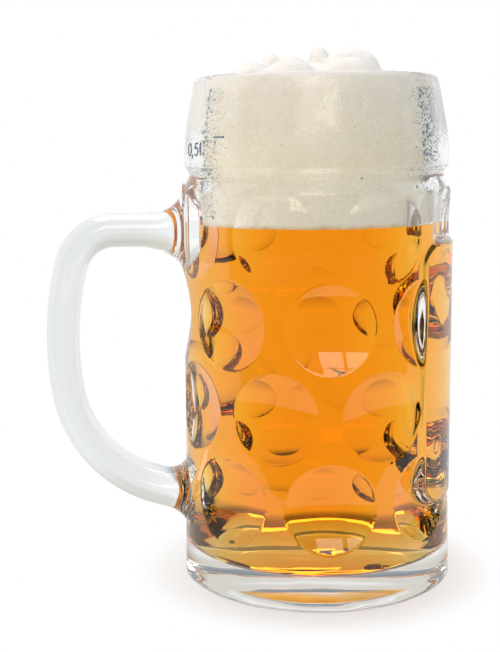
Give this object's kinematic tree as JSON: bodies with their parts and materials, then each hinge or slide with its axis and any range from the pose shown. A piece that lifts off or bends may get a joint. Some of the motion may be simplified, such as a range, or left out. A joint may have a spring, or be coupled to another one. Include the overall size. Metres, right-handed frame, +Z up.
{
  "type": "beer mug",
  "caption": "Half-litre beer mug of clear pressed glass with rows of round dimples, a plain panel opposite the D-shaped handle and a collar, filled with golden lager under a white head of foam.",
  "frame": {"origin": "centre of the foot ring on the table plane, on the mug's axis", "axes": "+Z up along the mug's axis, -X towards the handle, +Y completes the frame"},
  "size_m": [0.1256, 0.084, 0.1639],
  "materials": {
    "glass": "polished",
    "lager": "gloss",
    "foam": "matte"
  },
  "bodies": {
    "root": {"vessel": "glass", "handle": "glass", "beer": "lager", "foam": "foam"}
  },
  "joints": []
}
